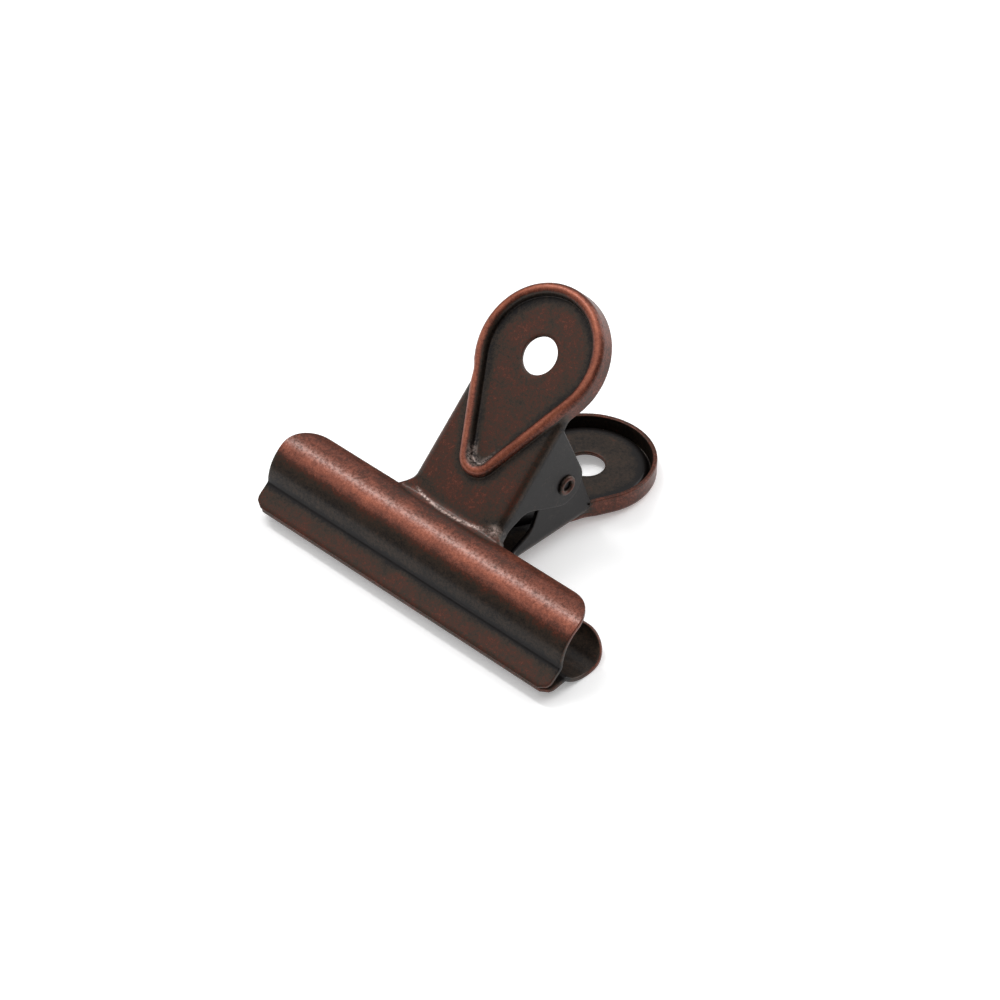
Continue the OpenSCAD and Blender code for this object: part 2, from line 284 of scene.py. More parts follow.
def plate(p, data, thick, r):
    """A closed sheet from the grid of its outer face: the face, the same face moved in by the thickness, and
    the rim round its four sides. The normal is the cross product of the grid's two differences."""
    n = unit(np.cross(np.gradient(p, axis=1), np.gradient(p, axis=0)))
    rows, cols = p.shape[:2]
    index = np.arange(rows * cols).reshape(rows, cols)
    loop = np.concatenate([index[:-1, 0], index[-1, :-1], index[:0:-1, -1], index[0, :0:-1]])
    flat, flat_n = p.reshape(-1, 3), n.reshape(-1, 3)
    edge, edge_n = flat[loop], flat_n[loop]
    out = unit(np.cross(edge_n, np.roll(edge, -1, 0) - np.roll(edge, 1, 0)))
    rings = rim(edge, edge_n, out, thick, r)
    points = np.concatenate([flat, flat - thick * flat_n, rings.reshape(-1, 3)])
    size = rows * cols
    ring_index = 2 * size + np.arange(rings.shape[0] * len(loop)).reshape(-1, len(loop))
    strip = np.concatenate([loop[None], ring_index, size + loop[None]])
    faces = np.concatenate([quads(index), quads(size + index)[:, ::-1], quads(strip, wrap_cols=True)])
    values = {}
    for key, a in data.items():
        a = a.reshape(-1)
        values[key] = np.concatenate([a, a, np.tile(a[loop], rings.shape[0])])
    zero, one = np.zeros(size), np.ones(size)
    rim_one = np.ones(rings.shape[0] * len(loop))
    values["inside"] = np.concatenate([zero, one, rim_one * 0.5])
    values["edge"] = np.concatenate([zero, zero, rim_one])
    values["scuff_and_highlight"] = values["scuff_and_highlight"] * (values["inside"] == 0)
    return points, faces, values


def ring_plate(p, data, thick, r, thin):
    """A closed sheet with a hole, from the grid of its outer face, whose columns run round the hole: the face,
    the rim of its last row, the face moved in, and the rim of its first row, as one closed band. The sheet
    is thinner by thin, which is a value for each point."""
    thick = thick - thin[..., None]
    across = np.roll(p, -1, 1) - np.roll(p, 1, 1)
    n = unit(np.cross(across, np.gradient(p, axis=0)))
    out = unit(np.cross(n, across))
    last, first = rim(p[-1], n[-1], out[-1], thick[-1], r), rim(p[0], n[0], -out[0], thick[0], r)[::-1]
    band = np.concatenate([p, last, (p - thick * n)[::-1], first])
    index = np.arange(band.shape[0] * band.shape[1]).reshape(band.shape[:2])
    count = len(last)
    values = {}
    for key, a in data.items():
        values[key] = np.concatenate([a, np.repeat(a[-1:], count, 0), a[::-1], np.repeat(a[:1], count, 0)]).ravel()
    zero, one, ones = np.zeros_like(p[..., 0]), np.ones_like(p[..., 0]), np.ones((count, p.shape[1]))
    values["inside"] = np.concatenate([zero, ones * 0.5, one, ones * 0.5]).ravel()
    values["edge"] = np.concatenate([zero, ones, zero, ones]).ravel()
    values["scuff_and_highlight"] = values["scuff_and_highlight"] * (values["inside"] == 0)
    return band.reshape(-1, 3), quads(index, True, True), values


def make_piece(name, points, faces, values, ends=()):
    """A smooth mesh object of closed faces: quads, and flat ends where it has any. If the sum of the quads'
    corner triple products, six times the volume, is negative, all faces are turned round."""
    tri = points[faces[:, :3]]
    other = points[faces[:, [0, 2, 3]]]
    volume = sum(np.einsum("ij,ij->i", t[:, 0], np.cross(t[:, 1], t[:, 2])).sum() for t in (tri, other))
    if volume < 0:
        faces, ends = faces[:, ::-1], [end[::-1] for end in ends]
    mesh = bpy.data.meshes.new(name)
    mesh.from_pydata(points.tolist(), [], faces.tolist() + list(ends))
    mesh.polygons.foreach_set("use_smooth", np.arange(len(mesh.polygons)) < len(faces))
    for key, a in values.items():
        mesh.attributes.new(key, "FLOAT", "POINT").data.foreach_set("value", a.astype(np.float32))
    mesh.update()
    old = bpy.data.objects.get(name)
    if old:
        bpy.data.objects.remove(old)
    obj = bpy.data.objects.new(name, mesh)
    bpy.context.scene.collection.objects.link(obj)
    return obj


def bar_face(c):
    """Outer face of the lips and the roll, as a grid: rows along the section, columns along X.

    The section is a straight lip, a hollow arc of the crease radius that touches the lip's line and
    the roll's circle, and the roll's circle round its centre line. A row's half length is the half
    width of the bar's outline at that y, whose corners are circles.
    """
    a = np.array([c.sheet / 2, (c.lip_gap + c.sheet) / 2])
    mid_r = c.roll_r - c.sheet / 2
    crease = c.roll_c + mid_r * slope(c.crease_a)[1]
    lift = math.atan2(*(crease - a)[::-1])
    along, above = slope(lift)
    start = a + c.sheet / 2 * above + (c.edge_r - c.sheet / 2) * along
    # centre of the crease's arc: at its radius over the lip's line and outside the roll's circle
    base = start + c.crease_r * above - c.roll_c
    half = base @ along
    run = -half - math.sqrt(half ** 2 - base @ base + (c.roll_r + c.crease_r) ** 2)
    centre = c.roll_c + base + run * along
    meet = c.roll_c - centre
    to = math.atan2(meet[1], meet[0])
    turn = np.linspace(lift - math.pi / 2, to, 9)
    hollow = centre + c.crease_r * np.stack([np.cos(turn), np.sin(turn)], -1)
    lip = start + np.sin(quarter(12)[:-1, None]) ** 0.8 * (hollow[0] - start)
    first = math.atan2(*(hollow[-1] - c.roll_c))
    back = c.roll_c[0] + c.roll_r * math.sin(c.back_a + c.run_on) - c.edge_r
    shoulder = math.asin((back - c.corner_r + c.edge_r - c.roll_c[0]) / c.roll_r)
    turn = np.concatenate([np.linspace(first, shoulder, 34)[1:], np.arcsin(
        (back - (c.corner_r - c.edge_r) * (1 - np.sin(quarter(16)[1:])) - c.roll_c[0]) / c.roll_r)])
    roll = c.roll_c + c.roll_r * np.stack([np.sin(turn), np.cos(turn)], -1)
    path = np.concatenate([lip, hollow, roll])
    y = path[:, 0]
    half = np.full(len(y), c.jaw_w / 2 - c.edge_r)
    for radius, side in ((c.lip_corner_r, c.lip_corner_r - y), (c.corner_r, y - (back + c.edge_r - c.corner_r))):
        bow = np.sqrt(np.maximum((radius - c.edge_r) ** 2 - np.maximum(side, 0) ** 2, 0))
        half = np.minimum(half, c.jaw_w / 2 - radius + bow)
    across = np.linspace(-1, 1, 101)
    ones = np.ones_like(across)
    p = np.stack([half[:, None] * across, path[:, :1] * ones, path[:, 1:] * ones], -1)
    # wear and painted shade by the angle round the roll, in degrees from its crown towards the back: a smooth step
    # up from the front with a bell over the crown, an even fall along the lip, and less beside the neck. The dark
    # front of the roll is partly tumbling wear and partly painted shade, kept dark where it would reflect the
    # bright floor; the lip's fall towards the crease is painted shade
    turn = np.degrees(np.arctan2(y - c.roll_c[0], path[:, 1] - c.roll_c[1]))
    worn_and_shaded = 0.17 + 0.35 * ease((turn + 42) / 30) + 0.16 * np.exp(-((turn + 9) / 13) ** 2)
    worn_and_shaded[:len(lip)] = 0.36 - 0.14 * np.linspace(0, 1, len(lip)) ** 2
    dark = np.exp(-(np.linalg.norm(path - hollow[4], axis=1) / 0.6) ** 2)
    # painted highlight: specks of bare-metal colour along the crown stand in for the lacquer's pale streak
    crest = 0.24 * np.exp(-((turn - 1) / 6) ** 2)
    near = 0.15 * ease((turn - 8) / 24)[:, None] * ease((c.neck_half + 2.5 - np.abs(p[..., 0])) / 3)
    return p, {"wear_and_shade": worn_and_shaded[:, None] * ones - near, "grime_and_shade": dark[:, None] * ones, "scuff_and_highlight": crest[:, None] * ones}


def spine(c, q, r):
    """The neck's middle line in the (y, z) plane, and its normal, at q along it.

    From the hanging hole back towards the bar it is straight, then a hollow arc of radius r turns it
    down to the roll's circle, and it ends on that circle, a hair under the roll's face.
    """
    rho = c.roll_r - HAIR
    a_s, a_h = (c.root - c.roll_c) @ c.along, (c.root - c.roll_c) @ c.above
    bend_q = -a_s + np.sqrt((rho + r) ** 2 - (a_h + r) ** 2) - c.neck_l
    centre = neck_point(c, bend_q, r)
    meet = np.arctan2(centre[..., 0] - c.roll_c[0], centre[..., 1] - c.roll_c[1])
    roll_q = bend_q - r * (c.splay_a + meet)
    lean = np.where(q >= bend_q, c.splay_a, np.where(
        q >= roll_q, c.splay_a - (bend_q - q) / r, -meet + (roll_q - q) / rho))
    n = slope(lean)[1]
    point = np.where((q >= bend_q)[..., None], neck_point(c, q, 0), np.where(
        (q >= roll_q)[..., None], centre - r[..., None] * n, c.roll_c + rho * n))
    return point, n, bend_q, roll_q


def valley(c, w, p):
    """Radius of the hollow at the neck's root, p across it: whole over the neck, and small at the flares, whose
    edges lie on the bar's back edge."""
    return c.valley_r + (FLARE_R - c.valley_r) * ease((np.abs(p) - w + 2) / 3)


def section(c, w, q):
    """Half width and bend radius of the neck at q: near the bar the sides run out in circles of the root
    radius, and the bend's radius eases down to almost nothing."""
    out = q + c.neck_l + 0.07 * c.root_r
    part = np.clip(c.root_r - out, 0, c.root_r * 0.93)
    return (w + c.root_r - np.sqrt(c.root_r ** 2 - part ** 2),
            ROOT_BEND_R + (c.bend_r - ROOT_BEND_R) * ease((q + c.neck_l) / 2.2))


def dip(c, w, x, q):
    """How far the flares slide under the bar's face at their outer ends: a smooth step across times one along."""
    return FLARE_DIP * ease((np.abs(x) - w - 0.3) / 1.1) * ease(1.3 - q - c.neck_l)


def neck_face(c, w, p, q, lift=0.0):
    """A point of the neck's outer face from its unrolled place: p across and q along.

    Across, the face is flat, then turns down round the bend's circle, then runs straight down the
    ear. The whole is carried on the spine, and lift raises it along the spine's normal.
    """
    half, r = section(c, w, q)
    flat = half - r
    turn = np.clip((np.abs(p) - flat) / r, 0, math.pi / 2)
    x = np.sign(p) * (np.minimum(np.abs(p), flat) + r * np.sin(turn))
    drop = r * (1 - np.cos(turn)) + np.maximum(np.abs(p) - flat - r * math.pi / 2, 0)
    drop = drop + dip(c, w, x, q)
    point, n = spine(c, q, valley(c, w, p))[:2]
    yz = point + (lift - drop)[..., None] * n
    return np.concatenate([x[..., None], yz], -1)


def ear_edge(c, w):
    """Half of the neck's cut edge, unrolled, from the handle to the middle of the root, as (p, q), with how many
    columns of the grid each stretch gets and the rounding of the edge already taken off."""
    r = c.edge_r

    def flat(y, z):
        d = np.stack([y, z], -1) - c.root
        return d @ c.along - c.neck_l, d @ c.above

    def run(a, b, count):
        t = np.linspace(0, 1, count + 1)[1:]
        return a[0] + t * (b[0] - a[0]), a[1] + t * (b[1] - a[1])

    band = -(c.bend_r + 0.15) + r
    top = flat(c.pivot_y + c.ear_r - r - math.sin(c.splay_a), neck_point(c, (
        c.pivot_y + c.ear_r - c.root[0]) / math.cos(c.splay_a) - c.neck_l, 1)[1])
    low = flat(c.pivot_y + c.ear_r - r, 0.0)
    part = (band - low[1]) / (top[1] - low[1])
    knee = (low[0] + part * (top[0] - low[0]), band)
    start = (join_at(c, w)[1], band)
    pieces = [run(start, knee, 6), run(knee, low, 16)]
    turn = -np.linspace(0, math.pi / 2 + c.skirt_a, 21)[1:]
    pieces.append(flat(c.pivot_y + (c.ear_r - r) * np.cos(turn), (c.ear_r - r) * np.sin(turn)))
    corner = c.pivot_y - c.ear_r / math.sin(c.skirt_a) - c.skirt_z / math.tan(c.skirt_a)
    lead = c.skirt_r * math.tan(c.skirt_a / 2)
    turn = np.linspace(math.pi / 2 - c.skirt_a, math.pi / 2, 9)
    bow = flat(corner - lead + (c.skirt_r + r) * np.cos(turn),
               c.skirt_z - c.skirt_r + (c.skirt_r + r) * np.sin(turn))
    last = (pieces[-1][0][-1], pieces[-1][1][-1])
    pieces += [run(last, (bow[0][0], bow[1][0]), 12), (bow[0][1:], bow[1][1:])]
    s_end = 1.4 - c.neck_l
    h_end = (c.skirt_z + r - c.root[1] - 1.4 * math.sin(c.splay_a)) / math.cos(c.splay_a)
    pieces.append(run((bow[0][-1], bow[1][-1]), (s_end, h_end), 10))
    q = np.concatenate([a[0] for a in pieces])
    h = np.concatenate([a[1] for a in pieces])
    # the flare: the edge climbs out of the ear's depth to just under the bar's face
    t = np.linspace(0, 1, 13)[1:]
    q = np.concatenate([q, s_end - 1.75 * t])
    h = np.concatenate([h, h_end + (-0.27 - h_end) * ease(t)])
    half, bend = section(c, w, q)
    turn = np.arccos(np.clip(1 + h / bend, 0, 1))
    p = half - bend + bend * turn + np.maximum(-h - bend, 0)
    # along the roll, and then along the root line to the middle
    roll_q = spine(c, np.zeros(1), np.array([c.valley_r]))[3][0]
    t = np.linspace(0, 1, 6)[1:]
    p = np.concatenate([p, np.full(5, p[-1]), p[-1] * (1 - np.linspace(0, 1, 15)[1:])])
    q = np.concatenate([q, q[-1] + (roll_q - 1.2 - q[-1]) * t, np.full(14, roll_q - 1.2)])
    return p, q


def join_at(c, w):
    """Where the outer wall of the bead meets the neck's side: its length along the crest line from the head's
    top, and its s."""
    ca, sa = math.cos(c.drop_a), math.sin(c.drop_a)
    run = (c.head_r * ca + c.bead_r * ca - w) / sa
    arc = c.head_r * (math.pi / 2 + c.drop_a)
    return arc + run, c.head_off - c.head_r * sa - run * ca - c.bead_r * sa


def crest_line(c, l):
    """Half of the teardrop's crest line at l from the head's top: a circle's arc, a straight side and the
    tip's arc, with its outward normal, both as (x, s)."""
    head, side = c.head_r * (math.pi / 2 + c.drop_a), c.drop_l * math.cos(c.drop_a)
    a = np.where(l < head, math.pi / 2 - l / c.head_r,
                 np.where(l < head + side, -c.drop_a, -c.drop_a - (l - head - side) / c.tip_r))
    n = np.stack([np.cos(a), np.sin(a)], -1)
    straight = np.clip(l - head, 0, side)[:, None] * np.array([-math.sin(c.drop_a), -math.cos(c.drop_a)])
    on_tip = (l >= head + side)[:, None]
    start = np.where(on_tip, [0, c.tip_s], [0, c.head_off]) + np.where(on_tip, c.tip_r, c.head_r) * n
    return start + np.where(on_tip, 0, straight), n


def jaw_face(c, w):
    """Outer face of the handle and the neck with its ears, as one grid whose columns run round the hanging hole.

    Each column starts at the hole, crosses the floor, climbs the bead on a hollow arc and a quarter circle,
    and comes down its far side. Round the head it goes on straight down as the turned edge. Over the
    neck it lands on the neck's face and crosses that, unrolled, in a straight line to the ear's edge or
    the root. Where the two meet, a column is a blend of both.
    """
    l_join, s_join = join_at(c, w)
    edge_p, edge_q = ear_edge(c, w)
    total = c.head_r * (math.pi / 2 + c.drop_a) + c.drop_l * math.cos(c.drop_a) + c.tip_r * (math.pi / 2 - c.drop_a)
    # the grid has this many columns over half the head, and this many rows beyond the bead's outer foot
    cols, base = 61, 46
    head = np.linspace(0, l_join, cols)
    count = len(edge_p)
    neck = total - l_join
    # columns over the neck, shared out so that each stretch of its edge lies opposite its own part of the bead
    marks = np.array([0, 6, 22, 42, 54, 62, 72, 84, 89, count])
    parts = np.array([0, 0.12, 0.27, 0.44, 0.56, 0.63, 0.71, 0.81, 0.85, 1])
    l = np.concatenate([head, l_join + neck * np.interp(np.arange(1, count + 1), marks, parts)])
    edge_p = np.concatenate([np.full(cols, edge_p[0]), edge_p])
    edge_q = np.concatenate([s_join + (l_join - head), edge_q])
    crest, n = crest_line(c, l)
    r, foot = c.bead_r, c.bead_z
    wide = r + foot
    hole = (c.hole_d / 2 + c.edge_r) * unit(crest - wide * n)
    rows = []

    def plan(d, h):
        xy = crest + np.asarray(d)[..., None, None] * n
        yz = neck_point(c, xy[..., 1], np.broadcast_to(np.asarray(h)[..., None], xy.shape[:-1]))
        rows.append(np.concatenate([xy[..., :1], yz], -1))

    t = np.linspace(0, 1, 15)[:-1, None, None]
    floor = hole + t * (crest - wide * n - hole)
    short = (1 - t[..., 0]) * np.linalg.norm(crest - wide * n - hole, axis=1)
    rows.append(np.concatenate([floor[..., :1], neck_point(c, floor[..., 1], np.zeros(floor.shape[:-1]))], -1))
    a = quarter(5)[:-1]
    plan(-wide + foot * np.sin(a), foot * (1 - np.cos(a)))
    plan(-r * np.cos(a), foot + r * np.sin(a))
    a = quarter(6)
    b = quarter(5)[1:]
    # over the head: the quarter circle, then straight down
    start = len(rows)
    plan(r * np.sin(a), foot + r * np.cos(a))
    down = np.concatenate([foot - (foot + 0.05) * np.linspace(0, 1, 6)[1:],
                           -0.05 - (c.flange_d - c.edge_r - 0.05) * np.linspace(0, 1, base + 1)[1:]])
    plan(np.full(len(down), r), down)
    over_head = np.concatenate(rows[start:])
    del rows[start:]
    # over the neck: the same quarter circle, a hollow arc, and the neck's face
    half, bend = section(c, w, crest[:, 1])
    flat = half - bend
    p_c = np.where(crest[:, 0] <= flat, crest[:, 0],
                   flat + bend * np.arcsin(np.clip((crest[:, 0] - flat) / bend, 0, 0.999)))
    sunk = bend * (1 - np.cos(np.clip((p_c - flat) / bend, 0, math.pi / 2)))
    d = np.concatenate([r * np.sin(a), wide - foot * np.cos(b)])[:, None]
    e = np.concatenate([foot + r * np.cos(a), foot * (1 - np.sin(b))])[:, None]
    p = p_c + d * n[:, 0]
    q = crest[:, 1] + d * n[:, 1]
    lift = e * (c.bead_h + sunk) / c.bead_h
    t = np.linspace(0, 1, base + 1)[1:, None]
    p = np.concatenate([p, p[-1] + t * (edge_p - p[-1])])
    q = np.concatenate([q, q[-1] + t * (edge_q - q[-1])])
    lift = np.concatenate([lift, np.zeros((base, len(l)))])
    over_neck = neck_face(c, w, p, q, lift)
    on_head = 1 - ease((l - l_join + 0.7) / 2.2)
    rows.append(on_head[:, None] * over_head + (1 - on_head[:, None]) * over_neck)
    grid = np.concatenate(rows)
    # the other half is the mirror image
    flip = grid[:, -2:0:-1] * np.array([-1, 1, 1])
    grid = np.concatenate([grid, flip], 1)

    # out is the distance out from the crest line, and along the distance up the neck from the bar
    inner = np.concatenate([-wide - short, (-wide + foot * np.sin(quarter(5)[:-1]))[:, None] + 0 * l,
                            (-r * np.cos(quarter(5)[:-1]))[:, None] + 0 * l])
    past = np.hypot(edge_p - p[len(d) - 1], edge_q - q[len(d) - 1])
    out = np.concatenate([inner, d + 0 * l, wide + t * past])
    blank = np.zeros_like(inner)
    half, bend = section(c, w, q)
    bent = np.concatenate([blank, (p - half + bend) / (bend * math.pi / 2)])
    along = np.concatenate([blank + 99, q + c.neck_l])
    near_tip = np.exp(-((crest[:, 1] - c.tip_s + 1.1) / 1.2) ** 2) + 0 * out
    out, bent, along, near_tip, on_head = (
        np.concatenate([v, v[:, -2:0:-1]], 1) for v in (out, bent, along, near_tip, on_head + 0 * out))
    on_neck = np.where(out > c.bead_r, 1 - on_head, 0)
    thin = on_neck * np.maximum(0.25 * ease((0.1 - along) / 0.5), 1.3 * dip(c, w, grid[..., 0], along - c.neck_l))
    return grid, jaw_finish(c, grid[..., 0], out, bent, along, near_tip, on_head, on_neck), thin


def jaw_finish(c, x, out, bent, along, near_tip, on_head, on_neck):
    """Wear, grime and scuffs of the handle and neck, each from 0 to 1, with painted shade and painted highlight
    among them.

    Wear is even on the floor and the neck, lower round the bend on the ears, and high in a bell over the
    bead's crest, on the turned edge and at the root. Grime and shade: painted shade in a bell over the bead's
    inner foot, a painted shadow on the neck beside its outer foot, painted shade over the neck's right side,
    and darker on the ears and above the root's mark. Scuff is that mark, and one in the tip, with a painted
    highlight where the neck's right bend meets the bar.
    """
    wide = c.bead_r + c.bead_z
    worn_and_shaded = 0.36 + on_neck * (0.05 - 0.28 * ease((bent - 0.6) / 0.5))
    crown = np.exp(-(np.maximum(np.abs(out - 0.1) - 0.15, 0) / 0.42) ** 2)
    wall = on_head * ease((out - 0.5) / 0.3)
    worn_and_shaded = worn_and_shaded + (0.8 - worn_and_shaded) * crown
    worn_and_shaded = worn_and_shaded + (0.46 - worn_and_shaded) * wall * (1 - crown)
    worn_and_shaded = worn_and_shaded + (0.4 - worn_and_shaded) * on_neck * ease((1.2 - along) / 1.6)
    # the press tool's mark at the root is a bow: its distance up the neck grows as the square of x
    bow = along + 0.2 - 1.5 * (x / c.neck_half) ** 2
    # painted shade: a bell over the bead's inner foot
    dark = 0.9 * np.exp(-(np.maximum(np.abs(out + wide) - 0.1, 0) / 0.6) ** 2)
    # painted shadow on the neck beside the bead's outer foot; darker on the ears
    dark = dark + on_neck * (0.8 * np.exp(-((out - wide) / 0.8) ** 2) + 0.25 * ease((bent - 0.7) / 0.4))
    # painted shade over the neck's right side; a darker band above the root's mark
    dark = dark + on_neck * (0.3 * ease((x - c.neck_half + 3.5) / 3) + 0.5 * np.exp(-((bow - 1.1) / 0.7) ** 2))
    nick_and_highlight = near_tip * np.exp(-((out + 0.85) / 0.3) ** 2)
    inboard = on_neck * ease((c.neck_half - 1.2 - np.abs(x)) / 1.5)
    nick_and_highlight = nick_and_highlight + inboard * np.exp(-(bow / 0.16) ** 2)
    # painted highlight where the neck's right bend meets the bar
    nick_and_highlight = nick_and_highlight + 0.8 * on_neck * np.exp(-((x - 6.9) ** 2 + (along - 1) ** 2) / 0.35)
    return {"wear_and_shade": worn_and_shaded, "grime_and_shade": np.clip(dark, 0, 1), "scuff_and_highlight": np.clip(nick_and_highlight, 0, 1)}


def pin_shell(c):
    """The hollow pin: a profile of (distance from the axis, x) carried round the pivot's axis. The profile is
    the bore, an arc of the rolled rim's circle at each end, and the pin's side."""
    half, bore, side = c.neck_half, c.bore_d / 2, c.pin_d / 2
    roll = (side + c.rim_w - bore) / 2
    centre = np.array([bore + roll, half + c.rim_t - roll])
    turn = np.linspace(math.pi, math.asin(max((half - centre[1]) / roll, -1)), 19)
    end = centre + roll * np.stack([np.cos(turn), np.sin(turn)], -1)
    run = np.linspace(-1, 1, 9) * (half - 0.2)
    profile = np.concatenate([np.stack([np.full(9, bore), run], -1), end, [[side, half]],
                              np.stack([np.full(9, side), -run], -1), [[side, -half]], end[::-1] * [1, -1]])
    steps = 48
    a = np.linspace(0, 2 * math.pi, steps + 1)[:-1]
    p = np.stack([np.repeat(profile[:, 1:], steps, 1), c.pivot_y + profile[:, :1] * np.cos(a),
                  profile[:, :1] * np.sin(a)], -1)
    index = np.arange(p.shape[0] * steps).reshape(-1, steps)
    rise = np.clip((np.abs(profile[:, 1]) - half) / c.rim_t, 0, 1)
    hole = (np.abs(profile[:, 0] - bore) < 0.01) & (np.abs(profile[:, 1]) < half)
    # the bore is painted near black: painted shade
    values = {"wear_and_shade": np.repeat(0.1 + 0.3 * rise, steps), "grime_and_shade": np.repeat(1.0 * hole, steps)}
    return p.reshape(-1, 3), quads(index, True, True), values


def spring_shell(c):
    """The torsion spring: a circle of the wire's radius carried along the wire's line.

    The line is a helix round the pivot between two straight legs that leave it along its tangent
    and lean as the necks do. Each ring stands square to the line and is turned so that one of its
    directions points away from the pivot's axis.
    """
    neck_d = c.root[1] * math.cos(c.splay_a) - (c.root[0] - c.pivot_y) * math.sin(c.splay_a)
    inner = neck_d - c.sheet - c.leg_gap - c.wire_d / 2
    leg_a = c.splay_a + math.asin(inner / math.hypot(c.coil_r, c.leg_l)) - math.atan2(c.coil_r, c.leg_l)
    wound = 2 * math.pi * (c.turns + 1) - 2 * (math.pi / 2 + leg_a)
    coil_w = (c.wire_d + c.turn_gap) * wound / (2 * math.pi)
    t = np.linspace(0, 1, 241)
    a = -(math.pi / 2 + leg_a) - wound * t
    coil = np.stack([coil_w * (t - 0.5), c.coil_r * np.cos(a), c.coil_r * np.sin(a)], -1)
    legs = []
    for side in (-1, 1):
        at = side * (math.pi / 2 + leg_a)
        d = np.linspace(0, 1, 15)[1:, None] * (c.leg_l - 0.12)
        legs.append(np.array([side * coil_w / 2, c.coil_r * math.cos(at), c.coil_r * math.sin(at)])
                    + d * np.array([0, math.cos(leg_a), side * math.sin(leg_a)]))
    line = np.concatenate([legs[0][::-1], coil, legs[1]])
    ahead = unit(np.gradient(line, axis=0))
    out = line * [0, 1, 1]
    out = unit(out - np.sum(out * ahead, -1, keepdims=True) * ahead)
    up = np.cross(ahead, out)
    sides = 20
    b = np.linspace(0, 2 * math.pi, sides + 1)[:-1, None]
    ring = np.cos(b) * out[:, None] + np.sin(b) * up[:, None]
    # the cut ends are rounded by rings that shrink as they run on, and the last ring is a flat face
    k = quarter(4)[1:, None, None]
    r, cut = c.wire_d / 2, 0.12
    tube = line[:, None] + r * ring
    caps = [line[e] + s * cut * np.sin(k) * ahead[e] + (r - cut * (1 - np.cos(k))) * ring[e]
            for e, s in ((0, -1), (-1, 1))]
    rings = np.concatenate([caps[0][::-1], tube, caps[1]])
    index = np.arange(rings.shape[0] * sides).reshape(-1, sides)
    points = rings.reshape(-1, 3) + np.array([0, c.pivot_y, 0])
    ends = [index[0, ::-1].tolist(), index[-1].tolist()]
    return points, quads(index, wrap_cols=True)[:, ::-1], ends, coil_w / 2 / 1000


def node(tree, kind, inputs=None, **settings):
    """Adds one node with its settings. Each of its inputs, by name or number, is linked to the socket or set to
    the value that inputs gives for it."""
    made = tree.nodes.new(kind)
    for key, value in settings.items():
        setattr(made, key, value)
    for key, value in (inputs or {}).items():
        if isinstance(value, bpy.types.NodeSocket):
            tree.links.new(value, made.inputs[key])
        else:
            made.inputs[key].default_value = value
    return made


